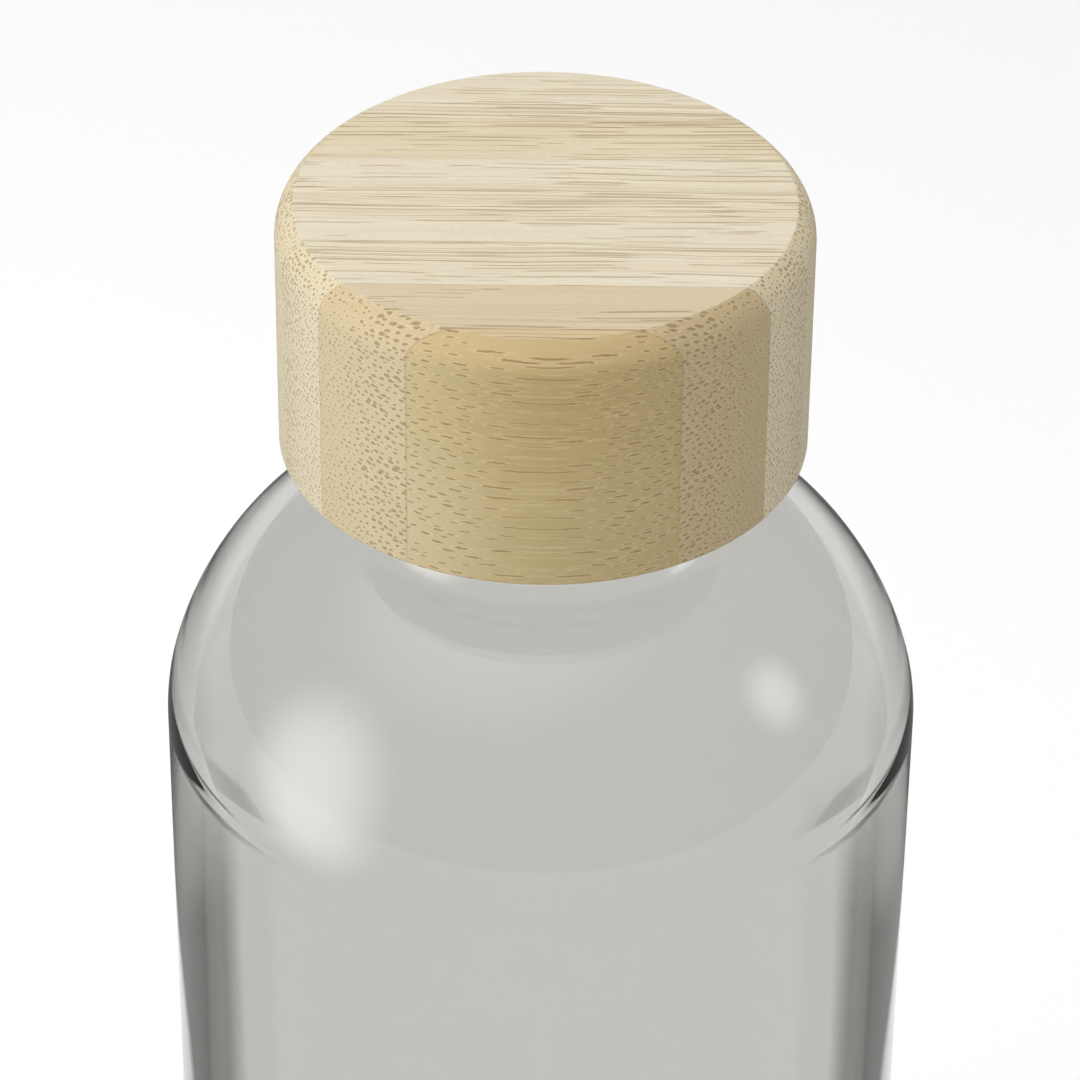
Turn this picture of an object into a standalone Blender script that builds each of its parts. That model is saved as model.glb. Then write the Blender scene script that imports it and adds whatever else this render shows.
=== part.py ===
"""Glass water bottle with a screw-on bamboo lid.

Eleven separate pieces: the glass bottle, the eight glued bamboo boards of the lid, the threaded
plastic insert inside the lid, and the silicone sealing ring between the insert and the glass rim.

Frame: metres, +Z up, origin at the centre of the base, the bottle's axis on Z. The lid's pieces are
parented to an empty on that axis, at the height of the lid's lower face.
"""

import math

import bmesh
import bpy
from mathutils import Vector

MM = 0.001

# Whole object
OVERALL_HEIGHT = 227.2 * MM
BODY_RADIUS = 36.5 * MM
GAP = 0.3 * MM  # space left between neighbouring pieces
TURN_STEPS = 48  # facets round a turned piece

# Bamboo lid
LID_RADIUS = 25 * MM
LID_HEIGHT = 25.7 * MM
LID_SHOULDER_ROUND = 4.3 * MM  # the large round between the lid's side and its flat top
LID_SHOULDER_DEPTH = 3.5 * MM  # less than that radius, so the round meets the top at an angle
LID_EDGE_ROUND = 0.4 * MM  # softens that angle and the lower edge
LID_TOP_PLATE = 4.2 * MM
LID_WALL = 4 * MM
BOARD_THICKNESS = 7.225 * MM
FIRST_GLUE_LINE = -21.725 * MM  # Y of the joint between the first board and the second
BOARD_COUNT = 8

# Glass bottle: shoulder, neck and rim
SHOULDER_BELOW_LID = 31.6 * MM  # from the lid's lower face down to where the shoulder starts
SHOULDER_EASE_RADIUS = 17 * MM
SHOULDER_EASE_ANGLE = math.radians(16)
SHOULDER_RADIUS = 31 * MM
NECK_RADIUS = 17.4 * MM
NECK_FILLET = 3.5 * MM
RIM_ROUND = 0.8 * MM
WALL = 2.8 * MM
NECK_WALL = 2.6 * MM

# Glass bottle: base
HEEL_RADIUS = 5.5 * MM
BEARING_RING_WIDTH = 3.5 * MM
PUNT_HEIGHT = 4 * MM
FLOOR_EDGE_HEIGHT = 6 * MM
FLOOR_CROWN = 2.5 * MM
FLOOR_FILLET = 9 * MM

# Screw thread, right-handed, one start
PITCH = 4.233 * MM
THREAD_HEIGHT = 1.2 * MM
THREAD_BURIED = 0.5 * MM  # how far a ridge's root reaches into its wall
THREAD_STEPS = 32  # facets per turn
FADE_STEPS = 4  # facets over which a ridge's end sinks into its wall
GLASS_THREAD_TURNS = 1.5
GLASS_THREAD_BELOW_RIM = 2.4 * MM
GLASS_THREAD_WIDTHS = (2.4 * MM, 1.0 * MM)  # at the root and at the crest
INSERT_THREAD_TURNS = 1.25
INSERT_THREAD_WIDTHS = (1.9 * MM, 0.7 * MM)
THREAD_DROP = 1.65 * MM  # the insert's ridge lies this far under the glass ridge

# Threaded insert and sealing ring
INSERT_BORE = 19 * MM
INSERT_SKIRT = 1.3 * MM
INSERT_PLATE = 1.2 * MM
INSERT_RECESS = 0.5 * MM  # the skirt ends this far above the lid's lower face
RIB_HEIGHT = 0.4 * MM
SEAL_THICKNESS = 1.8 * MM
SEAL_OUTER_RADIUS = 18.6 * MM
SEAL_INNER_RADIUS = 13.6 * MM
SEAL_ROUND = 0.4 * MM

# Heights that follow. Those of the lid's pieces are measured from the lid's lower face.
LID_BOTTOM = OVERALL_HEIGHT - LID_HEIGHT
SHOULDER_START = LID_BOTTOM - SHOULDER_BELOW_LID
LID_BORE_TOP = LID_HEIGHT - LID_TOP_PLATE
INSERT_TOP = LID_BORE_TOP - GAP
SEAL_TOP = INSERT_TOP - INSERT_PLATE - GAP
SEAL_BOTTOM = SEAL_TOP - SEAL_THICKNESS
RIM_HEIGHT = LID_BOTTOM + SEAL_BOTTOM - GAP


def clear_scene():
    for obj in list(bpy.data.objects):
        bpy.data.objects.remove(obj, do_unlink=True)


def arc(centre, radius, start, end, steps):
    """Points of an arc in the (radius, height) plane, both ends included; angles in radians."""
    points = []
    for step in range(steps + 1):
        angle = start + (end - start) * step / steps
        points.append(Vector((centre[0] + radius * math.cos(angle), centre[1] + radius * math.sin(angle))))
    return points


def crowned_disc(edge_radius, edge_height, crown, steps):
    """Points of a shallow dome's section, from its edge to the point before its centre, then the centre."""
    sphere = (edge_radius**2 + crown**2) / (2 * crown)
    half_angle = math.asin(edge_radius / sphere)
    centre = (0, edge_height + crown - sphere)
    points = arc(centre, sphere, math.pi / 2 - half_angle, math.pi / 2, steps)
    points[-1].x = 0
    return points


def turned(profile, steps=TURN_STEPS):
    """A bmesh of the profile, a list of (radius, height) points, spun once round the Z axis."""
    bm = bmesh.new()
    verts = [bm.verts.new((point[0], 0, point[1])) for point in profile]
    edges = [bm.edges.new(pair) for pair in zip(verts, verts[1:])]
    if profile[0][0] > 0:
        edges.append(bm.edges.new((verts[-1], verts[0])))
    bmesh.ops.spin(
        bm, geom=verts + edges, cent=(0, 0, 0), axis=(0, 0, 1), angle=math.tau, steps=steps, use_merge=True
    )
    bmesh.ops.remove_doubles(bm, verts=bm.verts, dist=1e-6)
    bmesh.ops.recalc_face_normals(bm, faces=bm.faces)
    return bm


def material(name, colour, roughness, metallic=0.0):
    mat = bpy.data.materials.new(name)
    mat.use_nodes = True
    shader = mat.node_tree.nodes["Principled BSDF"]
    shader.inputs["Base Color"].default_value = (*colour, 1)
    shader.inputs["Roughness"].default_value = roughness
    shader.inputs["Metallic"].default_value = metallic
    mat.diffuse_color = (*colour, 1)
    return mat


def add_object(name, bm, mat=None, parent=None):
    """A smooth-shaded object made from a bmesh, which is used up."""
    mesh = bpy.data.meshes.new(name)
    bm.to_mesh(mesh)
    bm.free()
    mesh.shade_smooth()
    mesh.set_sharp_from_angle(angle=math.radians(35))
    if mat:
        mesh.materials.append(mat)
    obj = bpy.data.objects.new(name, mesh)
    obj.parent = parent
    bpy.context.scene.collection.objects.link(obj)
    return obj


def hide_helper(obj):
    obj.hide_render = True
    obj.display_type = "WIRE"


def add_boolean(obj, helper, operation):
    hide_helper(helper)
    modifier = obj.modifiers.new(helper.name, "BOOLEAN")
    modifier.operation = operation
    modifier.solver = "EXACT"
    modifier.object = helper


def bottle_outside():
    """The glass's outer side, from the heel's upper end to the neck just under the rim."""
    ease_centre = Vector((BODY_RADIUS - SHOULDER_EASE_RADIUS, SHOULDER_START))
    ease_end = Vector((math.cos(SHOULDER_EASE_ANGLE), math.sin(SHOULDER_EASE_ANGLE)))
    dome_centre = ease_centre + ease_end * (SHOULDER_EASE_RADIUS - SHOULDER_RADIUS)
    fillet_radius = NECK_RADIUS + NECK_FILLET
    reach = SHOULDER_RADIUS + NECK_FILLET
    fillet_rise = math.sqrt(reach**2 - (fillet_radius - dome_centre.x) ** 2)
    fillet_centre = (fillet_radius, dome_centre.y + fillet_rise)
    dome_end = math.atan2(fillet_rise, fillet_radius - dome_centre.x)

    points = [Vector((BODY_RADIUS, HEEL_RADIUS)), Vector((BODY_RADIUS, SHOULDER_START / 2))]
    points += arc(ease_centre, SHOULDER_EASE_RADIUS, 0, SHOULDER_EASE_ANGLE, 3)
    points += arc(dome_centre, SHOULDER_RADIUS, SHOULDER_EASE_ANGLE, dome_end, 9)[1:]
    points += arc(fillet_centre, NECK_FILLET, dome_end - math.pi, -math.pi, 5)[1:]
    points.append(Vector((NECK_RADIUS, RIM_HEIGHT - RIM_ROUND)))
    return points


def inset_side(points):
    """The same side moved inwards by the wall's thickness, which grows from the body to the neck."""
    inside = []
    neck_height = points[-2].y
    for index, point in enumerate(points):
        before = points[max(index - 1, 0)]
        after = points[min(index + 1, len(points) - 1)]
        along = (after - before).normalized()
        growth = (point.y - SHOULDER_START) / (neck_height - SHOULDER_START)
        thickness = WALL + (NECK_WALL - WALL) * min(max(growth, 0), 1)
        inside.append(point + Vector((-along.y, along.x)) * thickness)
    return inside


def bottle_profile():
    """The whole section of the glass, from the centre of its underside round to the centre of its floor."""
    outside = bottle_outside()
    inside = inset_side(outside)
    inner_radius = BODY_RADIUS - WALL
    bearing_outer = BODY_RADIUS - HEEL_RADIUS
    bearing_inner = bearing_outer - BEARING_RING_WIDTH
    floor_edge = inner_radius - FLOOR_FILLET

    punt = crowned_disc(bearing_inner, 0, PUNT_HEIGHT, 4)
    heel = arc((bearing_outer, HEEL_RADIUS), HEEL_RADIUS, -math.pi / 2, 0, 5)
    rim_outer = arc((NECK_RADIUS - RIM_ROUND, RIM_HEIGHT - RIM_ROUND), RIM_ROUND, 0, math.pi / 2, 3)
    bore = inside[-1].x
    rim_inner = arc((bore + RIM_ROUND, RIM_HEIGHT - RIM_ROUND), RIM_ROUND, math.pi / 2, math.pi, 3)
    fillet_centre = (floor_edge, FLOOR_EDGE_HEIGHT + FLOOR_FILLET)
    floor_fillet = arc(fillet_centre, FLOOR_FILLET, 0, -math.pi / 2, 5)
    floor = crowned_disc(floor_edge, FLOOR_EDGE_HEIGHT, FLOOR_CROWN, 4)

    profile = punt[::-1] + heel
    profile += outside[1:-1] + rim_outer
    profile += rim_inner + inside[-2:0:-1]
    profile += floor_fillet + floor[1:]
    return profile


def thread_ridge(wall_radius, rise, start_height, turns, widths):
    """A helical ridge on a wall: rise is its height, negative where it points to the axis.

    It starts over +X and climbs counter-clockwise. Both ends sink into the wall.
    """
    bm = bmesh.new()
    steps = round(turns * THREAD_STEPS)
    outwards = math.copysign(1, rise)
    root_radius = wall_radius - outwards * THREAD_BURIED
    rings = []
    for step in range(steps + 1):
        angle = math.tau * step / THREAD_STEPS
        height = start_height + PITCH * step / THREAD_STEPS
        fullness = min(step, steps - step, FADE_STEPS) / FADE_STEPS
        crest_radius = wall_radius + rise * fullness - outwards * THREAD_BURIED / 2 * (1 - fullness)
        section = (
            (root_radius, -widths[0] / 2),
            (crest_radius, -widths[1] / 2),
            (crest_radius, widths[1] / 2),
            (root_radius, widths[0] / 2),
        )
        ring = []
        for radius, offset in section:
            ring.append(bm.verts.new((radius * math.cos(angle), radius * math.sin(angle), height + offset)))
        rings.append(ring)
    for ring, following in zip(rings, rings[1:]):
        for corner in range(4):
            nearer = (corner + 1) % 4
            bm.faces.new((ring[corner], ring[nearer], following[nearer], following[corner]))
    bm.faces.new(rings[0])
    bm.faces.new(rings[-1])
    bmesh.ops.recalc_face_normals(bm, faces=bm.faces)
    return bm


def add_bottle(mat):
    """The bottle: a thick base with a raised centre, a straight body, a round shoulder and a threaded neck."""
    bottle = add_object("glass_bottle", turned(bottle_profile()), mat)
    lowest = RIM_HEIGHT - GLASS_THREAD_BELOW_RIM - GLASS_THREAD_TURNS * PITCH
    ridge = thread_ridge(NECK_RADIUS, THREAD_HEIGHT, lowest, GLASS_THREAD_TURNS, GLASS_THREAD_WIDTHS)
    add_boolean(bottle, add_object("neck_thread", ridge), "UNION")


def insert_blank():
    """The insert as a cup, mouth down, with upright ribs on its outside that key it into the bamboo."""
    skirt_radius = INSERT_BORE + INSERT_SKIRT
    profile = [
        (0, INSERT_TOP),
        (skirt_radius, INSERT_TOP),
        (skirt_radius, INSERT_TOP - 1 * MM),
        (skirt_radius, INSERT_RECESS + 1 * MM),
        (skirt_radius, INSERT_RECESS),
        (INSERT_BORE, INSERT_RECESS),
        (INSERT_BORE, INSERT_TOP - INSERT_PLATE),
        (0, INSERT_TOP - INSERT_PLATE),
    ]
    bm = turned(profile)
    for vert in bm.verts:
        facet = round(math.atan2(vert.co.y, vert.co.x) / math.tau * TURN_STEPS)
        on_ribbed_band = INSERT_RECESS < vert.co.z < INSERT_TOP and vert.co.xy.length > skirt_radius - 1e-5
        if on_ribbed_band and facet % 4 in (0, 1) and abs(vert.co.z - INSERT_TOP) > 0.5 * MM:
            vert.co.xy *= (skirt_radius + RIB_HEIGHT) / skirt_radius
    return bm


def add_insert(mat, parent):
    """The threaded plastic cup that the bamboo is glued on."""
    insert = add_object("threaded_insert", insert_blank(), mat, parent)
    glass_lowest = RIM_HEIGHT - LID_BOTTOM - GLASS_THREAD_BELOW_RIM - GLASS_THREAD_TURNS * PITCH
    lowest = glass_lowest - THREAD_DROP
    ridge = thread_ridge(INSERT_BORE, -THREAD_HEIGHT, lowest, INSERT_THREAD_TURNS, INSERT_THREAD_WIDTHS)
    add_boolean(insert, add_object("insert_thread", ridge, parent=parent), "UNION")


def add_seal(mat, parent):
    """The flat silicone ring that the lid presses on the glass rim."""
    corners = (
        (SEAL_OUTER_RADIUS, SEAL_TOP, 0),
        (SEAL_INNER_RADIUS, SEAL_TOP, 1),
        (SEAL_INNER_RADIUS, SEAL_BOTTOM, 2),
        (SEAL_OUTER_RADIUS, SEAL_BOTTOM, 3),
    )
    middle = Vector(((SEAL_OUTER_RADIUS + SEAL_INNER_RADIUS) / 2, (SEAL_TOP + SEAL_BOTTOM) / 2))
    profile = []
    for radius, height, quarter in corners:
        centre = (
            radius + math.copysign(SEAL_ROUND, middle.x - radius),
            height + math.copysign(SEAL_ROUND, middle.y - height),
        )
        start = quarter * math.pi / 2
        profile += arc(centre, SEAL_ROUND, start, start + math.pi / 2, 2)
    add_object("seal_ring", turned(profile), mat, parent)


def lid_profile():
    """The lid's section before it is divided into boards: a round block with a blind bore from below."""
    shoulder_centre = (LID_RADIUS - LID_SHOULDER_ROUND, LID_HEIGHT - LID_SHOULDER_DEPTH)
    reach = LID_SHOULDER_ROUND - LID_EDGE_ROUND
    rise = LID_SHOULDER_DEPTH - LID_EDGE_ROUND
    top_edge_centre = (shoulder_centre[0] + math.sqrt(reach**2 - rise**2), LID_HEIGHT - LID_EDGE_ROUND)
    meeting = math.asin(rise / reach)

    bore = LID_RADIUS - LID_WALL
    profile = [(0, LID_BORE_TOP), (bore, LID_BORE_TOP), (bore, 0)]
    profile += arc((LID_RADIUS - LID_EDGE_ROUND, LID_EDGE_ROUND), LID_EDGE_ROUND, -math.pi / 2, 0, 2)
    profile += arc(shoulder_centre, LID_SHOULDER_ROUND, 0, meeting, 5)
    profile += arc(top_edge_centre, LID_EDGE_ROUND, meeting, math.pi / 2, 2)[1:]
    profile.append((0, LID_HEIGHT))
    return profile


def board_slab(index):
    """A block that spans one board's thickness, less half the gap at each glue line."""
    reach = LID_RADIUS + 5 * MM
    low = FIRST_GLUE_LINE + (index - 1) * BOARD_THICKNESS + GAP / 2
    high = FIRST_GLUE_LINE + index * BOARD_THICKNESS - GAP / 2
    if index == 0:
        low = -reach
    if index == BOARD_COUNT - 1:
        high = reach
    bm = bmesh.new()
    bmesh.ops.create_cube(bm, size=1)
    bmesh.ops.scale(bm, vec=(2 * reach, high - low, LID_HEIGHT + 10 * MM), verts=bm.verts)
    bmesh.ops.translate(bm, vec=(0, (low + high) / 2, LID_HEIGHT / 2), verts=bm.verts)
    return bm


def add_boards(materials, parent):
    """The bamboo boards that are glued side by side and turned to the lid's round shape."""
    for index in range(BOARD_COUNT):
        mat = materials[index % len(materials)]
        board = add_object(f"bamboo_board_{index + 1}", turned(lid_profile()), mat, parent)
        slab = add_object(f"board_slab_{index + 1}", board_slab(index), parent=parent)
        add_boolean(board, slab, "INTERSECT")


def add_lid_axis():
    """The empty that carries the lid: the lid turns about its Z axis as it climbs the thread."""
    empty = bpy.data.objects.new("lid_axis", None)
    empty.empty_display_size = LID_RADIUS
    empty.location = (0, 0, LID_BOTTOM)
    bpy.context.scene.collection.objects.link(empty)
    return empty


def main():
    clear_scene()
    glass = material("clear_glass", (0.56, 0.55, 0.53), 0.04)
    pale_bamboo = material("pale_bamboo", (0.72, 0.60, 0.41), 0.5)
    tan_bamboo = material("tan_bamboo", (0.58, 0.44, 0.25), 0.5)
    plastic = material("white_polypropylene", (0.80, 0.80, 0.78), 0.4)
    silicone = material("clear_silicone", (0.72, 0.73, 0.72), 0.5)

    lid_axis = add_lid_axis()
    add_bottle(glass)
    add_insert(plastic, lid_axis)
    add_seal(silicone, lid_axis)
    add_boards((tan_bamboo, tan_bamboo, pale_bamboo, pale_bamboo), lid_axis)


main()
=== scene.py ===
"""Looks of the glass water bottle with a bamboo lid: fine shapes and materials round the CAD frame."""

import math

import bpy
from mathutils import Matrix, Vector

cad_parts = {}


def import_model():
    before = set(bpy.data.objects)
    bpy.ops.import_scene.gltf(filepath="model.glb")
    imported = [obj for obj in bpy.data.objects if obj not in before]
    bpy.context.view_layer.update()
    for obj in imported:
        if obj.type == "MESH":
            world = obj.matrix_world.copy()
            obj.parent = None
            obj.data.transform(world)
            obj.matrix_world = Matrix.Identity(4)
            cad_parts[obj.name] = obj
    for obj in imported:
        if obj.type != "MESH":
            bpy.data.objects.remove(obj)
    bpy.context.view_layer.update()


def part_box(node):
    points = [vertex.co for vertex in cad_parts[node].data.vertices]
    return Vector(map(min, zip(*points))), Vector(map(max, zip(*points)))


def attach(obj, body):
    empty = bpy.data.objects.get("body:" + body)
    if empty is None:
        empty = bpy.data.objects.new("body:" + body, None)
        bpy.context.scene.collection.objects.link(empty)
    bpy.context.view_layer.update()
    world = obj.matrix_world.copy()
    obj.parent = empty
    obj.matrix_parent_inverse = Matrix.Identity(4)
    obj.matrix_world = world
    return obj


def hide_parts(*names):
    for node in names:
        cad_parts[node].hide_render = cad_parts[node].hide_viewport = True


MM = 0.001

SAME = 1e-6  # measures that differ by less than this, in metres, are taken as equal

# Fineness: steps round the axis, along a plain arc, and along the other parts of each section
ROUND_STEPS = 192
ARC_STEPS = 14
BODY_STEPS = 12
DOME_STEPS = 36
THREAD_STEPS = 90
NECK_INSIDE_SKIP = 8  # the neck's plain inside keeps one point in this many
RIM_STEPS = 6
SEAL_EDGE_STEPS = 6
INSERT_EDGE_STEPS = 4
INSERT_SIDE_STEPS = 24
INSERT_CORNER_STEPS = 5
LID_SHOULDER_STEPS = 20
LID_EDGE_STEPS = 5
TURNED_SHARP_ANGLE = math.radians(40)
BOARD_SHARP_ANGLE = math.radians(25)

# Glass bottle
BODY_RADIUS = 36.5 * MM
WALL = 2.8 * MM
NECK_WALL = 2.6 * MM
NECK_RADIUS = 17.4 * MM
NECK_FILLET = 3.5 * MM
RIM_ROUND = 0.8 * MM
SHOULDER_BELOW_LID = 31.6 * MM
SHOULDER_EASE_RADIUS = 17 * MM
SHOULDER_EASE_ANGLE = math.radians(16)
SHOULDER_RADIUS = 31 * MM
HEEL_RADIUS = 5.5 * MM
BEARING_RING_WIDTH = 3.5 * MM
PUNT_HEIGHT = 4 * MM
FLOOR_EDGE_HEIGHT = 6 * MM
FLOOR_CROWN = 2.5 * MM
FLOOR_FILLET = 9 * MM

# Screw thread
PITCH = 4.233 * MM
THREAD_HEIGHT = 1.2 * MM
THREAD_FADE = 0.12  # turns over which a ridge's end sinks into its wall
GLASS_THREAD_TURNS = 1.5
GLASS_THREAD_BELOW_RIM = 2.4 * MM
GLASS_THREAD_WIDTHS = (2.4 * MM, 1.0 * MM)
INSERT_THREAD_TURNS = 1.25
INSERT_THREAD_WIDTHS = (1.9 * MM, 0.7 * MM)
THREAD_DROP = 1.65 * MM

# Threaded insert and sealing ring
INSERT_BORE = 19 * MM
INSERT_SKIRT = 1.3 * MM
INSERT_PLATE = 1.2 * MM
INSERT_EDGE = 0.25 * MM
INSERT_CORNER = 0.5 * MM
INSERT_MARGIN = 1 * MM  # the thread and the ribs stop this far from the cup's ends
INSERT_SIDE_MARGIN = 0.9 * MM
RIB_HEIGHT = 0.4 * MM
RIB_COUNT = 12
RIB_STEEPNESS = 2.5
RIB_WIDENING = 0.5
SEAL_WIDTH = 5 * MM
SEAL_ROUND = 0.4 * MM

# Bamboo lid
LID_SHOULDER_ROUND = 4.3 * MM
LID_SHOULDER_DEPTH = 3.5 * MM
LID_EDGE_ROUND = 0.4 * MM
LID_TOP_PLATE = 4.2 * MM
LID_WALL = 4 * MM
GLUE_GAP = 0.02 * MM
BOARD_THICKNESS = 7.225 * MM
SLAB_OVERHANG = 1 * MM
SLAB_REACH = 1.2  # of the lid's radius, along the boards
SLAB_OUTSIDE = 2  # of the lid's radius, beyond the outermost boards

# Glass: part of its tint is in its surface, and part in its thickness
GLASS_SURFACE = (0.825, 0.823, 0.809, 1)
GLASS_ABSORPTION = (0.55, 0.545, 0.50, 1)
GLASS_DENSITY = 90.0  # per metre
GLASS_IOR = 1.5

# Floor and surround
FLOOR_SIDE = 24
FLOOR_COLOUR = (0.96, 0.96, 0.96, 1)
FLOOR_GLOW = 0.62
FLOOR_GLOW_REACHES = (0.4, 1.8)
SURROUND_LIGHT = 0.39
SURROUND_SEEN = 0.985

# The surround seen below the horizon. Through glass it has a grey zone to each side, between two elevations,
# whose greys go with the azimuth in turns from +Y. Reflections off a surface see a darker zone, which starts
# nearer to +Y the higher it is.
ZONE_TOP = math.radians(-38.3)
ZONE_FULL = math.radians(-39.6)
ZONE_BOTTOM = math.radians(-41.7)
ZONE_LOWER_EDGE = 0.003
ZONE_GREYS = (
    (0.0, 1.0),
    (0.0395, 1.0),
    (0.0430, 0.71),
    (0.056, 0.58),
    (0.078, 0.44),
    (0.12, 0.29),
    (0.17, 0.22),
    (0.19, 1.0),
)
MIRROR_STARTS = (math.radians(3), math.radians(30))
MIRROR_END = math.radians(74)
MIRROR_FADE = math.radians(6)
MIRROR_DARKNESS = 0.8

# Camera
CAMERA_PITCH = math.radians(35.47)
CAMERA_ROLL = math.radians(0.56)
CAMERA_LENS = 174.07
CAMERA_SENSOR = 36
CAMERA_CLIPS = (0.01, 100)
CAMERA_FROM_LID = Vector((-0.22, -408.3, 252.6)) * MM  # from the centre of the lid's top


# ---------------------------------------------------------------- shapes


def add_object(name, data):
    """A new object in the scene that holds this mesh or camera."""
    obj = bpy.data.objects.new(name, data)
    bpy.context.scene.collection.objects.link(obj)
    return obj


def arc(centre, radius, start, end, steps=ARC_STEPS):
    """Points of an arc in the (radius, height) plane, both ends included."""
    points = []
    for step in range(steps + 1):
        angle = start + (end - start) * step / steps
        points.append(Vector((centre[0] + radius * math.cos(angle), centre[1] + radius * math.sin(angle))))
    return points


def straight(start, end, steps):
    """Points along a straight line, both ends included."""
    start = Vector(start)
    end = Vector(end)
    return [start.lerp(end, step / steps) for step in range(steps + 1)]


def crowned_disc(edge_radius, edge_height, crown, steps=ARC_STEPS):
    """Points of a shallow dome's section, from its edge to its centre."""
    sphere = (edge_radius**2 + crown**2) / (2 * crown)
    half_angle = math.asin(edge_radius / sphere)
    points = arc((0, edge_height + crown - sphere), sphere, math.pi / 2 - half_angle, math.pi / 2, steps)
    points[-1].x = 0
    return points


def turned(name, profile, swell=None, closed=False, steps=ROUND_STEPS):
    """A smooth object made by turning a profile round Z; swell(angle, radius, height) adds to a radius."""
    rows = []
    verts = []
    for radius, height in profile:
        if radius < SAME:
            rows.append([len(verts)])
            verts.append((0, 0, height))
            continue
        row = []
        for step in range(steps):
            angle = math.tau * step / steps
            reach = radius + (swell(angle, radius, height) if swell else 0)
            row.append(len(verts))
            verts.append((reach * math.cos(angle), reach * math.sin(angle), height))
        rows.append(row)
    pairs = list(zip(rows, rows[1:]))
    if closed:
        pairs.append((rows[-1], rows[0]))
    faces = []
    for row, following in pairs:
        for step in range(steps):
            corners = (
                row[step % len(row)],
                row[(step + 1) % len(row)],
                following[(step + 1) % len(following)],
                following[step % len(following)],
            )
            faces.append(tuple(dict.fromkeys(corners)))
    mesh = bpy.data.meshes.new(name)
    mesh.from_pydata(verts, [], faces)
    mesh.shade_smooth()
    mesh.set_sharp_from_angle(angle=TURNED_SHARP_ANGLE)
    return add_object(name, mesh)


def ridge_rise(angle, height, lowest, turns, widths):
    """How much of its full height, from 0 to 1, a helical ridge has at this angle and height.

    widths are the ridge's width at its foot and at its crest.
    """
    rise = 0
    for lap in range(math.ceil(turns) + 1):
        along = angle / math.tau + lap
        if along > turns:
            continue
        offset = abs(height - lowest - PITCH * along)
        slope = (widths[0] / 2 - offset) / (widths[0] / 2 - widths[1] / 2)
        slope = min(max(slope, 0), 1)
        fade = min(along, turns - along, THREAD_FADE) / THREAD_FADE
        rise = max(rise, slope * slope * (3 - 2 * slope) * fade)
    return rise


def glass_outside(lid_bottom, rim):
    """The bottle's outer side, from the heel's upper end to the neck under the rim."""
    shoulder_start = lid_bottom - SHOULDER_BELOW_LID
    ease_centre = Vector((BODY_RADIUS - SHOULDER_EASE_RADIUS, shoulder_start))
    ease_end = Vector((math.cos(SHOULDER_EASE_ANGLE), math.sin(SHOULDER_EASE_ANGLE)))
    dome_centre = ease_centre + ease_end * (SHOULDER_EASE_RADIUS - SHOULDER_RADIUS)
    fillet_radius = NECK_RADIUS + NECK_FILLET
    reach = SHOULDER_RADIUS + NECK_FILLET
    fillet_rise = math.sqrt(reach**2 - (fillet_radius - dome_centre.x) ** 2)
    fillet_centre = (fillet_radius, dome_centre.y + fillet_rise)
    dome_end = math.atan2(fillet_rise, fillet_radius - dome_centre.x)

    points = straight((BODY_RADIUS, HEEL_RADIUS), (BODY_RADIUS, shoulder_start), BODY_STEPS)
    points += arc(ease_centre, SHOULDER_EASE_RADIUS, 0, SHOULDER_EASE_ANGLE)[1:]
    points += arc(dome_centre, SHOULDER_RADIUS, SHOULDER_EASE_ANGLE, dome_end, DOME_STEPS)[1:]
    points += arc(fillet_centre, NECK_FILLET, dome_end - math.pi, -math.pi)[1:]
    points += straight(points[-1], (NECK_RADIUS, rim - RIM_ROUND), THREAD_STEPS)[1:]
    return points


def glass_inside(outside, shoulder_start):
    """The outer side moved in by the wall's thickness, from the neck down to the heel."""
    inside = []
    neck_start = next(point.y for point in outside if point.x < NECK_RADIUS + SAME)
    for index, point in enumerate(outside):
        before = outside[max(index - 1, 0)]
        after = outside[min(index + 1, len(outside) - 1)]
        along = (after - before).normalized()
        growth = (point.y - shoulder_start) / (neck_start - shoulder_start)
        thickness = WALL + (NECK_WALL - WALL) * min(max(growth, 0), 1)
        inside.append(point + Vector((-along.y, along.x)) * thickness)
    return inside[::-1]


def glass_profile(lid_bottom, rim):
    """The glass's section, from the centre of its underside over the rim to the centre of its floor."""
    outside = glass_outside(lid_bottom, rim)
    inside = glass_inside(outside, lid_bottom - SHOULDER_BELOW_LID)
    bearing_outer = BODY_RADIUS - HEEL_RADIUS
    bearing_inner = bearing_outer - BEARING_RING_WIDTH
    floor_edge = BODY_RADIUS - WALL - FLOOR_FILLET
    bore = inside[0].x

    profile = crowned_disc(bearing_inner, 0, PUNT_HEIGHT)[::-1]
    profile += arc((bearing_outer, HEEL_RADIUS), HEEL_RADIUS, -math.pi / 2, 0)
    profile += outside[1:-1]
    profile += arc((NECK_RADIUS - RIM_ROUND, rim - RIM_ROUND), RIM_ROUND, 0, math.pi / 2, RIM_STEPS)
    profile += arc((bore + RIM_ROUND, rim - RIM_ROUND), RIM_ROUND, math.pi / 2, math.pi, RIM_STEPS)
    floor_side = FLOOR_EDGE_HEIGHT + FLOOR_FILLET
    for index, point in enumerate(inside[1:-1]):
        kept = point.x > bore + SAME or index % NECK_INSIDE_SKIP == NECK_INSIDE_SKIP - 1
        if kept and point.y > floor_side:
            profile.append(point)
    profile += arc((floor_edge, floor_side), FLOOR_FILLET, 0, -math.pi / 2)
    profile += crowned_disc(floor_edge, FLOOR_EDGE_HEIGHT, FLOOR_CROWN)[1:]
    return profile


def make_glass(lid_bottom, rim):
    """The bottle, with a screw thread round its neck."""
    lowest = rim - GLASS_THREAD_BELOW_RIM - GLASS_THREAD_TURNS * PITCH

    def swell(angle, radius, height):
        if abs(radius - NECK_RADIUS) > SAME:
            return 0
        return THREAD_HEIGHT * ridge_rise(angle, height, lowest, GLASS_THREAD_TURNS, GLASS_THREAD_WIDTHS)

    return turned("bottle_glass", glass_profile(lid_bottom, rim), swell)


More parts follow.
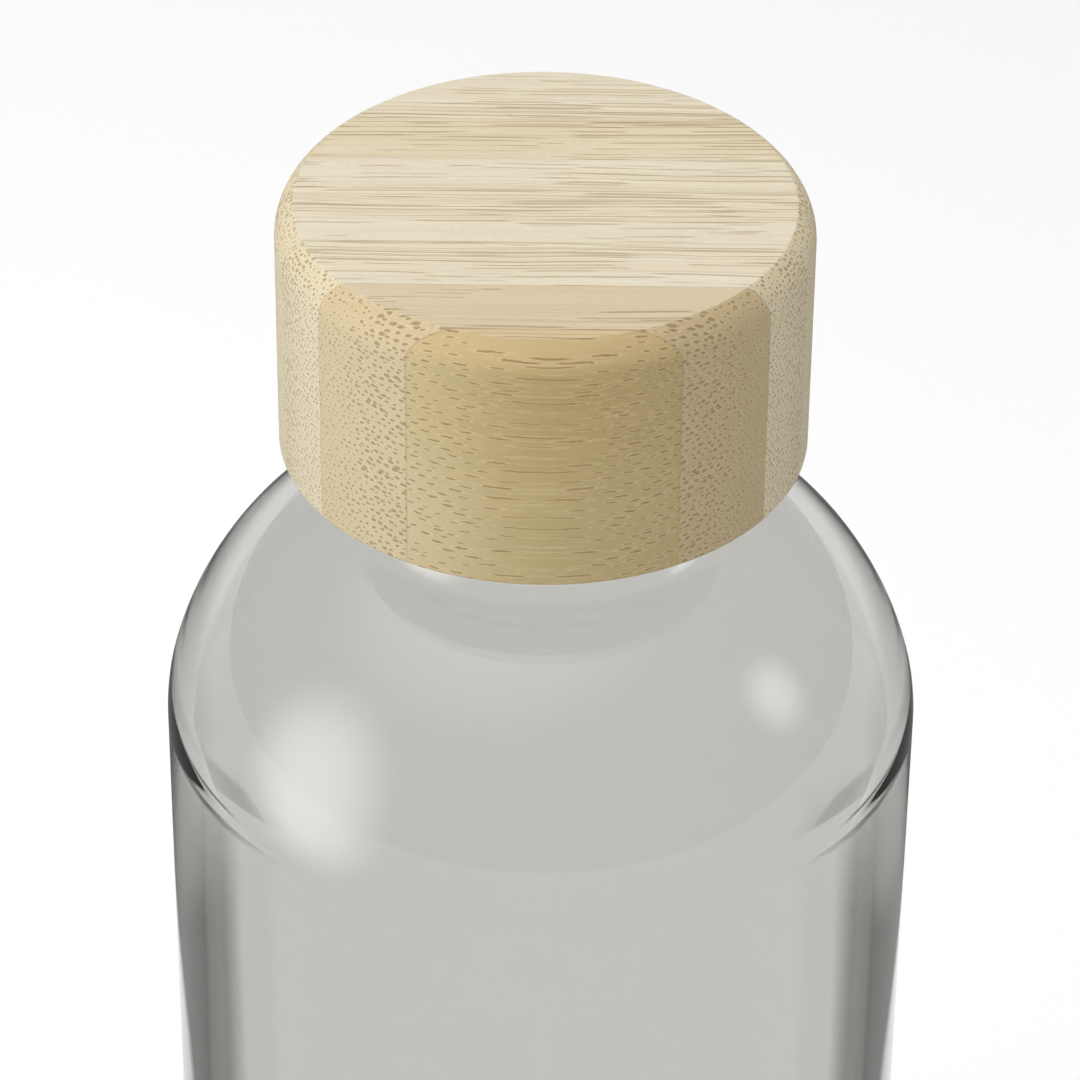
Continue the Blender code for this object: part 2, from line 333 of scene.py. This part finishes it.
def make_insert(low, high, rim):
    """The plastic cup, mouth down, with its thread inside and its keying ribs outside."""
    skirt = INSERT_BORE + INSERT_SKIRT
    lowest = rim - GLASS_THREAD_BELOW_RIM - GLASS_THREAD_TURNS * PITCH - THREAD_DROP
    ribs_low = low + INSERT_MARGIN
    ribs_high = high - INSERT_MARGIN

    def swell(angle, radius, height):
        if abs(radius - INSERT_BORE) < SAME:
            rise = ridge_rise(angle, height, lowest, INSERT_THREAD_TURNS, INSERT_THREAD_WIDTHS)
            return -THREAD_HEIGHT * rise
        if abs(radius - skirt) < SAME and ribs_low <= height <= ribs_high:
            wave = math.cos(angle * RIB_COUNT) * RIB_STEEPNESS + RIB_WIDENING
            return RIB_HEIGHT * min(max(wave, 0), 1)
        return 0

    side_high = high - INSERT_SIDE_MARGIN
    side_low = low + INSERT_SIDE_MARGIN
    thread_low = low + INSERT_MARGIN
    thread_high = high - INSERT_PLATE - INSERT_MARGIN
    outer_edge = skirt - INSERT_EDGE
    inner_edge = INSERT_BORE + INSERT_EDGE
    mouth_edge = low + INSERT_EDGE
    corner = (INSERT_BORE - INSERT_CORNER, high - INSERT_PLATE - INSERT_CORNER)
    profile = [Vector((0, high))]
    profile += arc((outer_edge, high - INSERT_EDGE), INSERT_EDGE, math.pi / 2, 0, INSERT_EDGE_STEPS)
    profile += straight((skirt, side_high), (skirt, side_low), INSERT_SIDE_STEPS)
    profile += arc((outer_edge, mouth_edge), INSERT_EDGE, 0, -math.pi / 2, INSERT_EDGE_STEPS)
    profile += arc((inner_edge, mouth_edge), INSERT_EDGE, -math.pi / 2, -math.pi, INSERT_EDGE_STEPS)
    profile += straight((INSERT_BORE, thread_low), (INSERT_BORE, thread_high), THREAD_STEPS)
    profile += arc(corner, INSERT_CORNER, 0, math.pi / 2, INSERT_CORNER_STEPS)
    profile.append(Vector((0, high - INSERT_PLATE)))
    return turned("insert_cup", profile, swell)


def make_seal(low, high):
    """The flat sealing ring, with rounded corners."""
    bottom = low.z
    top = high.z
    outer = high.x
    inner = outer - SEAL_WIDTH
    corners = ((outer, top, 0), (inner, top, 1), (inner, bottom, 2), (outer, bottom, 3))
    middle = ((outer + inner) / 2, (top + bottom) / 2)
    profile = []
    for radius, height, quarter in corners:
        centre = (
            radius + math.copysign(SEAL_ROUND, middle[0] - radius),
            height + math.copysign(SEAL_ROUND, middle[1] - height),
        )
        start = quarter * math.pi / 2
        profile += arc(centre, SEAL_ROUND, start, start + math.pi / 2, SEAL_EDGE_STEPS)
    return turned("seal_gasket", profile[::-1], closed=True)


def lid_profile(radius, bottom, top):
    """The lid's section before it is divided into boards."""
    shoulder_centre = (radius - LID_SHOULDER_ROUND, top - LID_SHOULDER_DEPTH)
    reach = LID_SHOULDER_ROUND - LID_EDGE_ROUND
    rise = LID_SHOULDER_DEPTH - LID_EDGE_ROUND
    top_edge = (shoulder_centre[0] + math.sqrt(reach**2 - rise**2), top - LID_EDGE_ROUND)
    meeting = math.asin(rise / reach)
    bore = radius - LID_WALL
    bore_top = top - LID_TOP_PLATE
    profile = [(0, bore_top), (bore, bore_top), (bore, bottom)]
    bottom_edge = (radius - LID_EDGE_ROUND, bottom + LID_EDGE_ROUND)
    profile += arc(bottom_edge, LID_EDGE_ROUND, -math.pi / 2, 0, LID_EDGE_STEPS)
    profile += arc(shoulder_centre, LID_SHOULDER_ROUND, 0, meeting, LID_SHOULDER_STEPS)
    profile += arc(top_edge, LID_EDGE_ROUND, meeting, math.pi / 2, LID_EDGE_STEPS)[1:]
    profile.append((0, top))
    return profile


def slab(front, back, reach, bottom, top):
    """A plain block between two Y planes, used only to divide the lid into boards."""
    mesh = bpy.data.meshes.new("slab")
    corners = []
    for z in (bottom - SLAB_OVERHANG, top + SLAB_OVERHANG):
        for x, y in ((-reach, front), (reach, front), (reach, back), (-reach, back)):
            corners.append((x, y, z))
    faces = [(3, 2, 1, 0), (4, 5, 6, 7), (0, 1, 5, 4), (1, 2, 6, 5), (2, 3, 7, 6), (3, 0, 4, 7)]
    mesh.from_pydata(corners, [], faces)
    return add_object("slab", mesh)


def make_board(name, profile, front, back, reach, bottom, top):
    """One board: the part of the turned lid between two glue planes."""
    board = turned(name, profile)
    cutter = slab(front, back, reach, bottom, top)
    cut = board.modifiers.new("cut", "BOOLEAN")
    cut.operation = "INTERSECT"
    cut.solver = "EXACT"
    cut.object = cutter
    graph = bpy.context.evaluated_depsgraph_get()
    mesh = bpy.data.meshes.new_from_object(board.evaluated_get(graph))
    board.modifiers.clear()
    board.data = mesh
    mesh.shade_smooth()
    mesh.set_sharp_from_angle(angle=BOARD_SHARP_ANGLE)
    bpy.data.objects.remove(cutter)
    return board


# ---------------------------------------------------------------- materials


def new_material(name):
    """A material with its node tree and its Principled shader."""
    mat = bpy.data.materials.new(name)
    mat.use_nodes = True
    return mat, mat.node_tree, mat.node_tree.nodes["Principled BSDF"]


def add(tree, kind, inputs=None, **settings):
    """A node with its settings and inputs; an input is a value, or the socket that it is linked to."""
    node = tree.nodes.new(kind)
    for key, value in settings.items():
        setattr(node, key, value)
    for key, value in (inputs or {}).items():
        socket = node.inputs[key]
        if isinstance(value, bpy.types.NodeSocket):
            tree.links.new(value, socket)
        else:
            socket.default_value = value
    return node


def maths(tree, operation, first, second=0.0, third=0.0, clamp=False):
    node = add(tree, "ShaderNodeMath", {0: first, 1: second, 2: third}, operation=operation, use_clamp=clamp)
    return node.outputs[0]


def times(tree, first, second):
    return maths(tree, "MULTIPLY", first, second)


def minus(tree, first, second, clamp=False):
    return maths(tree, "SUBTRACT", first, second, clamp=clamp)


def scaled(tree, vector, scale, offset=(0, 0, 0)):
    """The vector times a scale on each axis, plus an offset."""
    node = add(tree, "ShaderNodeVectorMath", {0: vector, 1: scale, 2: offset}, operation="MULTIPLY_ADD")
    return node.outputs[0]


def length(tree, vector):
    return add(tree, "ShaderNodeVectorMath", {0: vector}, operation="LENGTH").outputs["Value"]


def noise(tree, vector, scale=1.0, detail=2.0, roughness=0.5):
    inputs = {"Vector": vector, "Scale": scale, "Detail": detail, "Roughness": roughness}
    return add(tree, "ShaderNodeTexNoise", inputs).outputs["Fac"]


def band(tree, value, low, high, to_low=0.0, to_high=1.0):
    """value eased from low..high to to_low..to_high, and held there outside."""
    inputs = {"Value": value, "From Min": low, "From Max": high, "To Min": to_low, "To Max": to_high}
    return add(tree, "ShaderNodeMapRange", inputs, interpolation_type="SMOOTHSTEP").outputs["Result"]


def mix(tree, factor, first, second, blend="MIX"):
    """One colour from two; each is a socket or (red, green, blue)."""
    node = add(tree, "ShaderNodeMix", data_type="RGBA", blend_type=blend)
    for key, value in ((0, factor), (6, first), (7, second)):
        if isinstance(value, bpy.types.NodeSocket):
            tree.links.new(value, node.inputs[key])
        elif key == 0:
            node.inputs[key].default_value = value
        else:
            node.inputs[key].default_value = (*value, 1)
    return node.outputs[2]


def in_mm(tree, coords):
    """The place on the object, in mm."""
    return scaled(tree, coords.outputs["Object"], (1 / MM, 1 / MM, 1 / MM))


def add_bump(tree, shader, height, strength, depth):
    """Fine relief; depth is in metres."""
    bump = add(tree, "ShaderNodeBump", {"Strength": strength, "Distance": depth, "Height": height})
    tree.links.new(bump.outputs[0], shader.inputs["Normal"])


def bamboo(name, look, front, back, top, seed):
    """One bamboo board. Its fibres run along X. Inside the material, lengths are in mm.

    The dark bundles of a culm are long threads that lie along X: they show as specks where the board's
    end is cut and as fine lines along it. Towards one face of the board they are bolder.
    """
    mat, tree, shader = new_material(name)
    coords = add(tree, "ShaderNodeTexCoord")
    place = in_mm(tree, coords)
    xyz = add(tree, "ShaderNodeSeparateXYZ", {0: place})
    facing = add(tree, "ShaderNodeSeparateXYZ", {0: coords.outputs["Normal"]})
    upward = band(tree, facing.outputs["Z"], 0.80, 0.995)
    across = maths(tree, "DIVIDE", minus(tree, xyz.outputs["Y"], front / MM), (back - front) / MM)
    bold_side = across if look["bold_side"] > 0 else minus(tree, 1.0, across)
    bold = band(tree, bold_side, 0.15, 0.95)

    threads = wandering_threads(tree, place, xyz, look["lean"], seed)
    growth = times(tree, band(tree, bold, 0.0, 1.0, 0.72, 1.0), band(tree, upward, 0.0, 1.0, 1.0, 0.72))
    specks, sheaths = thread_specks(tree, threads, look["cell"], look["speck"], growth, seed)
    boldness = band(tree, bold, 0.0, 0.9, look["faint"], 1.0)
    specks = times(tree, specks, times(tree, boldness, band(tree, upward, 0.0, 1.0, 1.0, 0.7)))
    sheaths = times(tree, sheaths, boldness)

    # Long streaks of the ground tissue.
    along = scaled(tree, place, (0.035, 0, 0))
    stretched = add(tree, "ShaderNodeVectorMath", {0: threads, 1: along}).outputs[0]
    stretched = scaled(tree, stretched, (1, 1, 1), (seed, 0, 0))
    streaks = noise(tree, scaled(tree, stretched, (1, 4.0, 4.0)), detail=5.0, roughness=0.75)
    broad = noise(tree, scaled(tree, stretched, (0.6, 0.5, 0.5)), detail=2.0)
    grain = noise(tree, scaled(tree, place, (1.6, 13, 13)), detail=2.0, roughness=0.6)
    pores = noise(tree, scaled(tree, place, (2.5, 7, 7)), detail=4.0, roughness=0.8)

    # Where the threads lie in the surface they are fine broken lines.
    lying = scaled(tree, stretched, (0.42, 8.0, 0.5), (seed * 2.9, 0, 0))
    lines = band(tree, noise(tree, lying, detail=1.5, roughness=0.5), 0.585, 0.625)
    lines = times(tree, lines, band(tree, bold, 0.0, 0.9, 0.15, 1.0))
    lines = times(tree, lines, upward)

    # Round the top edge the board is deeper in colour, and a thin dark line runs where it meets the glue.
    rounded = band(tree, maths(tree, "ABSOLUTE", minus(tree, facing.outputs["Z"], 0.55)), 0.5, 0.1)
    inset = times(tree, maths(tree, "PINGPONG", across, 0.5), (back - front) / MM)

    ground = look["ground"]
    pale = tuple(min(c * 1.10, 1) for c in ground)
    deep = tuple(c * f for c, f in zip(ground, (0.84, 0.76, 0.58)))
    brown = tuple(c * f for c, f in zip(ground, (0.50, 0.40, 0.22)))
    layers = (
        (times(tree, rounded, look["edge"]), deep),
        (band(tree, streaks, 0.52, 0.72, 0.0, 0.32), deep),
        (band(tree, streaks, 0.48, 0.30, 0.0, 0.25), pale),
        (band(tree, broad, 0.40, 0.72, 0.0, 0.25), deep),
        (band(tree, grain, 0.45, 0.75, 0.0, 0.12), deep),
        (band(tree, pores, 0.40, 0.66, 0.0, 0.42), deep),
        (times(tree, bold, 0.12), deep),
        (times(tree, sheaths, 0.30), pale),
        (times(tree, lines, 0.85 * look["lines"]), brown),
        (times(tree, specks, 0.92), brown),
        (band(tree, inset, 0.0, 0.09, 0.20, 0.0), brown),
    )
    colour = board_ground(tree, xyz, upward, look, top)
    for amount, tone in layers:
        colour = mix(tree, amount, colour, tone)
    tree.links.new(colour, shader.inputs["Base Color"])

    tree.links.new(band(tree, grain, 0.3, 0.7, 0.42, 0.56), shader.inputs["Roughness"])
    relief = minus(tree, times(tree, grain, 0.35), times(tree, specks, 0.6))
    relief = maths(tree, "MULTIPLY_ADD", streaks, 0.5, relief)
    add_bump(tree, shader, relief, 0.5, 0.09 * MM)
    shader.inputs["Specular IOR Level"].default_value = 0.4
    return mat


def board_ground(tree, xyz, upward, look, top):
    """A board's plain colour: that of its top, paler and greyer partly as painted sheen, or the deeper one
    where it is cut across its fibres.
    """
    # Painted sheen: towards the -X ends, which face the key lamp, the sides take a greyer colour, paler on
    # the front boards.
    side = mix(tree, band(tree, xyz.outputs["X"], 1.0, -15.0), look["side"], look["left"])
    upper = band(tree, xyz.outputs["Z"], top / MM - 19, top / MM - 8, 0.0, look["upper"])
    side = mix(tree, upper, side, (0.89, 0.85, 0.72), blend="MULTIPLY")
    # Facing up, the board takes its top colour, which is paler and greyer partly as painted sheen and partly
    # as its own colour.
    return mix(tree, upward, side, look["ground"])


def wandering_threads(tree, place, xyz, lean, seed):
    """Which thread a point is in, by Y and Z. The threads wander and lean a little from the X axis."""
    drift = scaled(tree, place, (0.045, 0.16, 0.16), (seed * 3.1, seed * 1.7, seed * 5.3))
    drift_y = minus(tree, noise(tree, drift, detail=2.0), 0.5)
    drift_z = minus(tree, noise(tree, scaled(tree, drift, (1, 1, 1), (9, 4, 7)), detail=2.0), 0.5)
    lean_y = times(tree, xyz.outputs["X"], lean[0])
    lean_z = times(tree, xyz.outputs["X"], lean[1])
    y = maths(tree, "ADD", maths(tree, "MULTIPLY_ADD", drift_y, 1.1, xyz.outputs["Y"]), lean_y)
    z = maths(tree, "ADD", maths(tree, "MULTIPLY_ADD", drift_z, 1.5, xyz.outputs["Z"]), lean_z)
    return add(tree, "ShaderNodeCombineXYZ", {"X": 0.0, "Y": y, "Z": z}).outputs[0]


def thread_specks(tree, threads, cell, size, growth, seed):
    """Where the dark bundles and the pale sheaths round them are, each from 0 to 1.

    cell is the bundles' spacing and size their half width, in Y and Z, in mm.
    """
    across = add(tree, "ShaderNodeSeparateXYZ", {0: threads})
    flat = add(tree, "ShaderNodeCombineXYZ", {"X": across.outputs["Y"], "Y": across.outputs["Z"]}).outputs[0]
    # The rows are staggered: each lies half a space along from the last.
    lattice = add(tree, "ShaderNodeSeparateXYZ", {0: scaled(tree, flat, (1 / cell[0], 1 / cell[1], 0))})
    staggered = maths(tree, "MULTIPLY_ADD", lattice.outputs["Y"], 0.5, lattice.outputs["X"])
    cells = add(tree, "ShaderNodeCombineXYZ", {"X": staggered, "Y": lattice.outputs["Y"]}).outputs[0]
    cells = scaled(tree, cells, (1, 1, 0), (seed * 7.3, seed * 3.9, 0))
    inputs = {"Vector": cells, "Scale": 1.0, "Randomness": 0.58}
    nearest = add(tree, "ShaderNodeTexVoronoi", inputs, voronoi_dimensions="2D", feature="F1")
    away = add(tree, "ShaderNodeVectorMath", {0: cells, 1: nearest.outputs["Position"]}, operation="SUBTRACT")
    away = add(tree, "ShaderNodeSeparateXYZ", {0: away.outputs[0]})
    level = maths(tree, "MULTIPLY_ADD", away.outputs["Y"], -0.5, away.outputs["X"])
    away = add(tree, "ShaderNodeCombineXYZ", {"X": level, "Y": away.outputs["Y"]}).outputs[0]
    away = scaled(tree, away, (cell[0] / size[0], cell[1] / size[1], 0))
    reach = length(tree, away)
    ragged = noise(tree, scaled(tree, threads, (0, 9, 9)), detail=1.0)
    reach = times(tree, reach, band(tree, ragged, 0.3, 0.7, 0.7, 1.3))
    # No two bundles are quite the same size.
    tint = add(tree, "ShaderNodeSeparateColor", {0: nearest.outputs["Color"]})
    reach = times(tree, reach, band(tree, tint.outputs[0], 0.0, 1.0, 0.8, 1.45))
    reach = maths(tree, "DIVIDE", reach, growth)
    disc = band(tree, reach, 0.65, 1.25, 1.0, 0.0)
    middle = band(tree, reach, 0.1, 0.6, 0.2, 0.0)
    sheath = band(tree, reach, 1.25, 2.4, 1.0, 0.0)
    return minus(tree, disc, middle, clamp=True), minus(tree, sheath, disc, clamp=True)


def clear_glass():
    """Slightly smoky glass, with long faint waves round its wall."""
    mat, tree, shader = new_material("clear_glass")
    shader.inputs["Base Color"].default_value = GLASS_SURFACE
    shader.inputs["Roughness"].default_value = 0.0
    shader.inputs["Transmission Weight"].default_value = 1.0
    shader.inputs["IOR"].default_value = GLASS_IOR
    coords = add(tree, "ShaderNodeTexCoord")
    waves = noise(tree, scaled(tree, coords.outputs["Object"], (60, 60, 18)), detail=1.0)
    add_bump(tree, shader, waves, 0.12, 0.4 * MM)
    tint = add(tree, "ShaderNodeVolumeAbsorption", {"Color": GLASS_ABSORPTION, "Density": GLASS_DENSITY})
    tree.links.new(tint.outputs[0], tree.nodes["Material Output"].inputs["Volume"])
    return mat


def moulded(name, dark, light, cloud, skin, roughness, relief, subsurface):
    """A moulded material, clouded from dark to light, with a fine skin that sets its roughness.

    cloud and skin are each a noise's scale per mm and its detail.
    """
    mat, tree, shader = new_material(name)
    place = in_mm(tree, add(tree, "ShaderNodeTexCoord"))
    clouds = noise(tree, scaled(tree, place, (cloud[0], cloud[0], cloud[0])), detail=cloud[1])
    tree.links.new(mix(tree, clouds, dark, light), shader.inputs["Base Color"])
    fine = noise(tree, scaled(tree, place, (skin[0], skin[0], skin[0])), detail=skin[1])
    tree.links.new(band(tree, fine, 0.3, 0.7, *roughness), shader.inputs["Roughness"])
    add_bump(tree, shader, fine, relief, 0.02 * MM)
    shader.inputs["Subsurface Weight"].default_value = subsurface
    shader.inputs["Subsurface Scale"].default_value = 1 * MM
    return mat


def polypropylene():
    """Off-white moulded plastic with a fine satin texture."""
    return moulded(
        "white_polypropylene",
        dark=(0.78, 0.78, 0.75),
        light=(0.84, 0.84, 0.82),
        cloud=(0.25, 3.0),
        skin=(9, 2.0),
        roughness=(0.34, 0.46),
        relief=0.2,
        subsurface=0.15,
    )


def silicone():
    """Milky soft rubber with a matt skin."""
    return moulded(
        "clear_silicone",
        dark=(0.70, 0.71, 0.70),
        light=(0.78, 0.79, 0.78),
        cloud=(0.4, 2.0),
        skin=(14, 1.0),
        roughness=(0.42, 0.55),
        relief=0.15,
        subsurface=0.3,
    )


# ---------------------------------------------------------------- pieces


def add_piece(obj, mat, body, node):
    """Gives the object its material, hangs it on the body that carries it, and hides the CAD part of the node
    it stands for.
    """
    obj.data.materials.clear()
    obj.data.materials.append(mat)
    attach(obj, body)
    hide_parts(node)


def board_looks():
    """The eight boards, from the front one to the back one. bold_side is -1 for the front, 1 for the back.

    ground is the colour of the top, paler partly as painted sheen, side that round the lid, and left
    that at the boards' -X ends, which face the key lamp: a painted sheen. upper is how far the board deepens
    in colour towards its top, and lines how strong its fine lines are.
    """
    tan = {
        "ground": (0.615, 0.520, 0.375),
        "side": (0.425, 0.332, 0.170),
        "left": (0.526, 0.445, 0.272),
        "edge": 0.60,
        "upper": 0.15,
        "lines": 0.65,
    }
    front = {
        "ground": (0.600, 0.490, 0.310),
        "side": (0.402, 0.317, 0.142),
        "left": (0.528, 0.462, 0.290),
        "edge": 1.0,
        "upper": 1.0,
        "lines": 1.0,
    }
    pale = {
        "ground": (0.690, 0.630, 0.505),
        "side": (0.640, 0.560, 0.385),
        "left": (0.600, 0.538, 0.392),
        "edge": 0.45,
        "upper": 0.0,
        "lines": 1.0,
    }
    sparse = {"cell": (0.84, 0.62), "speck": (0.175, 0.085), "faint": 0.90}
    close = {"cell": (0.50, 0.58), "speck": (0.155, 0.145), "faint": 0.90}
    fine = {"cell": (0.50, 0.50), "speck": (0.175, 0.155), "faint": 1.0}
    return (
        {**front, **sparse, "bold_side": 1, "lean": (0.004, 0.008)},
        {**tan, **close, "bold_side": -1, "lean": (-0.006, 0.012)},
        {**pale, **fine, "bold_side": 1, "lean": (0.010, -0.010)},
        {**pale, **fine, "bold_side": 1, "lean": (-0.004, 0.012)},
        {**pale, **fine, "bold_side": -1, "lean": (0.006, 0.009)},
        {**pale, **fine, "ground": (0.660, 0.580, 0.430), "bold_side": 1, "lean": (-0.008, -0.012)},
        {**pale, **close, "bold_side": -1, "lean": (0.005, 0.010)},
        {**pale, **fine, "bold_side": 1, "lean": (0.004, -0.009)},
    )


def add_boards(bottom, top, radius):
    """The lid's boards, each with its grain set out over the board that it was cut from."""
    looks = board_looks()
    profile = lid_profile(radius, bottom, top)
    for index, look in enumerate(looks):
        node = f"bamboo_board_{index + 1}"
        low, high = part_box(node)
        front = low.y
        back = high.y
        middle = (front + back) / 2
        if index > 0:
            front = (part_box(f"bamboo_board_{index}")[1].y + low.y) / 2 + GLUE_GAP / 2
        if index < len(looks) - 1:
            back = (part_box(f"bamboo_board_{index + 2}")[0].y + high.y) / 2 - GLUE_GAP / 2
        cut_front = front if index > 0 else middle - SLAB_OUTSIDE * radius
        cut_back = back if index < len(looks) - 1 else middle + SLAB_OUTSIDE * radius
        glued_front = max(cut_front, back - BOARD_THICKNESS)
        glued_back = min(cut_back, front + BOARD_THICKNESS)
        name = f"lid_board_{index + 1}"
        board = make_board(name, profile, cut_front, cut_back, SLAB_REACH * radius, bottom, top)
        mat = bamboo(f"bamboo_{index + 1}", look, glued_front, glued_back, top, index + 1)
        add_piece(board, mat, "lid", node)


# ---------------------------------------------------------------- studio


def rectangle(name, width, depth):
    """A flat rectangle round the origin, facing +Z."""
    x = width / 2
    y = depth / 2
    mesh = bpy.data.meshes.new(name)
    mesh.from_pydata([(-x, -y, 0), (x, -y, 0), (x, y, 0), (-x, y, 0)], [], [(0, 1, 2, 3)])
    return add_object(name, mesh)


def add_floor():
    """A plain pale floor that fills every view. Away from the lights it glows a little, to stay pale."""
    floor = rectangle("floor", FLOOR_SIDE, FLOOR_SIDE)
    mat, tree, shader = new_material("floor")
    shader.inputs["Base Color"].default_value = FLOOR_COLOUR
    shader.inputs["Roughness"].default_value = 0.9
    shader.inputs["Specular IOR Level"].default_value = 0.1
    shader.inputs["Emission Color"].default_value = (1, 1, 1, 1)
    coords = add(tree, "ShaderNodeTexCoord")
    glow = band(tree, length(tree, coords.outputs["Object"]), *FLOOR_GLOW_REACHES, 0.0, FLOOR_GLOW)
    tree.links.new(glow, shader.inputs["Emission Strength"])
    floor.data.materials.append(mat)
    floor.visible_glossy = False
    floor.visible_transmission = False


def add_glow(name, target, azimuth, elevation, distance, size, strength, lights=True, shows=True):
    """A card that glows softly from its middle, aimed at the target; azimuth is from +Y towards +X.

    lights: whether it lights surfaces; shows: whether it is seen in reflections and through glass.
    """
    turn = math.radians(azimuth)
    rise = math.radians(elevation)
    back = Vector((math.sin(turn) * math.cos(rise), math.cos(turn) * math.cos(rise), math.sin(rise)))
    card = rectangle(name, *size)
    card.location = target + back * distance
    card.rotation_euler = back.to_track_quat("Z", "Y").to_euler()
    mat, tree, _ = new_material(name)
    coords = add(tree, "ShaderNodeTexCoord")
    reach = scaled(tree, coords.outputs["Object"], (2 / size[0], 2 / size[1], 0))
    glow = band(tree, length(tree, reach), 0.15, 1.0, strength, 0.0)
    emission = add(tree, "ShaderNodeEmission", {"Strength": glow})
    clear = add(tree, "ShaderNodeBsdfTransparent")
    both = add(tree, "ShaderNodeAddShader", {0: emission.outputs[0], 1: clear.outputs[0]})
    tree.links.new(both.outputs[0], tree.nodes["Material Output"].inputs["Surface"])
    card.data.materials.append(mat)
    card.visible_camera = False
    card.visible_shadow = False
    card.visible_diffuse = lights
    card.visible_glossy = shows
    card.visible_transmission = shows


def add_lights(middle):
    """Soft lights round the shoulder, and apart from them the glows that the glass reflects."""
    add_glow("key", middle, -124, 8, 0.9, (0.9, 1.25), 3.25, shows=False)
    add_glow("key_glow", middle, -110, 2, 0.9, (1.0, 1.4), 3.2, lights=False)
    add_glow("fill_glow", middle, 91, 21, 1.1, (0.5, 0.6), 2.4, lights=False)
    add_glow("top", middle, -90, 78, 1.1, (2.4, 2.4), 2.75, shows=False)
    add_glow("top_glow", middle, -90, 78, 1.1, (2.4, 2.4), 1.0, lights=False)
    add_glow("rim", middle, 68, 12, 1.1, (0.5, 0.8), 1.5, shows=False)


def glass_zone(tree, height, azimuth):
    """How dark the surround is as it is seen through glass, from 0 to 1."""
    ramp = add(tree, "ShaderNodeValToRGB", {0: maths(tree, "DIVIDE", azimuth, math.tau)})
    stops = ramp.color_ramp.elements
    for index, (place, grey) in enumerate(ZONE_GREYS):
        stop = stops[index] if index < 2 else stops.new(place)
        stop.position = place
        stop.color = (grey, grey, grey, 1)
    under_top = band(tree, height, ZONE_FULL, ZONE_TOP, 1.0, 0.0)
    over_bottom = band(tree, height, ZONE_BOTTOM, ZONE_BOTTOM + ZONE_LOWER_EDGE)
    return times(tree, minus(tree, 1.0, ramp.outputs[0]), times(tree, under_top, over_bottom))


def mirror_zone(tree, height, azimuth):
    """How dark the surround is as a surface reflects it, from 0 to 1."""
    start = band(tree, height, ZONE_BOTTOM, ZONE_TOP, MIRROR_STARTS[1], MIRROR_STARTS[0])
    beyond = maths(tree, "DIVIDE", minus(tree, azimuth, start), MIRROR_FADE, clamp=True)
    within = band(tree, azimuth, MIRROR_END, MIRROR_END - 2 * MIRROR_FADE)
    low = band(tree, height, -MIRROR_FADE, -3 * MIRROR_FADE)
    return times(tree, times(tree, times(tree, beyond, within), low), MIRROR_DARKNESS)


def add_world():
    """A white surround: brighter where it is seen, or reflected from below the horizon, than as a light."""
    world = bpy.data.worlds.new("studio")
    world.use_nodes = True
    tree = world.node_tree
    coords = add(tree, "ShaderNodeTexCoord")
    xyz = add(tree, "ShaderNodeSeparateXYZ", {0: coords.outputs["Generated"]})
    path = add(tree, "ShaderNodeLightPath")
    below = maths(tree, "LESS_THAN", xyz.outputs["Z"], 0.0)
    reflected = times(tree, path.outputs["Is Glossy Ray"], below)
    looked_at = maths(tree, "MAXIMUM", path.outputs["Is Camera Ray"], path.outputs["Is Transmission Ray"])
    looked_at = maths(tree, "MAXIMUM", looked_at, reflected)
    light = maths(tree, "MULTIPLY_ADD", looked_at, SURROUND_SEEN - SURROUND_LIGHT, SURROUND_LIGHT)

    height = maths(tree, "ARCSINE", xyz.outputs["Z"])
    azimuth = maths(tree, "ARCTAN2", maths(tree, "ABSOLUTE", xyz.outputs["X"]), xyz.outputs["Y"])
    zone = glass_zone(tree, height, azimuth)
    mirror = mirror_zone(tree, height, azimuth)
    # A ray that glass lets through counts as a glossy ray too, so those are taken out.
    mirrored = minus(tree, path.outputs["Is Glossy Ray"], path.outputs["Is Transmission Ray"], clamp=True)
    missing = add(tree, "ShaderNodeMix", {0: mirrored, 2: zone, 3: mirror}, data_type="FLOAT").outputs[0]
    background = tree.nodes["Background"]
    background.inputs["Color"].default_value = (1, 1, 1, 1)
    tree.links.new(times(tree, light, minus(tree, 1.0, missing)), background.inputs["Strength"])
    bpy.context.scene.world = world


def add_camera(lid_top):
    """The photograph's view, from above the front of the lid."""
    data = bpy.data.cameras.new("camera")
    data.sensor_width = CAMERA_SENSOR
    data.lens = CAMERA_LENS
    data.clip_start = CAMERA_CLIPS[0]
    data.clip_end = CAMERA_CLIPS[1]
    camera = add_object("camera", data)
    tilt = Matrix.Rotation(math.pi / 2 - CAMERA_PITCH, 4, "X") @ Matrix.Rotation(CAMERA_ROLL, 4, "Z")
    camera.matrix_world = Matrix.Translation(Vector((0, 0, lid_top)) + CAMERA_FROM_LID) @ tilt
    bpy.context.scene.camera = camera


def main():
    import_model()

    board_low, board_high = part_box("bamboo_board_4")
    lid_bottom = board_low.z
    lid_top = board_high.z
    lid_radius = board_high.x
    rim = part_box("glass_bottle")[1].z
    add_piece(make_glass(lid_bottom, rim), clear_glass(), "bottle", "glass_bottle")
    insert_low, insert_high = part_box("threaded_insert")
    insert = make_insert(insert_low.z, insert_high.z, rim)
    add_piece(insert, polypropylene(), "lid", "threaded_insert")
    add_piece(make_seal(*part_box("seal_ring")), silicone(), "seal", "seal_ring")
    add_boards(lid_bottom, lid_top, lid_radius)

    add_floor()
    add_lights(Vector((0, 0, lid_bottom)))
    add_world()
    add_camera(lid_top)
    bpy.context.scene.view_settings.view_transform = "Standard"


main()
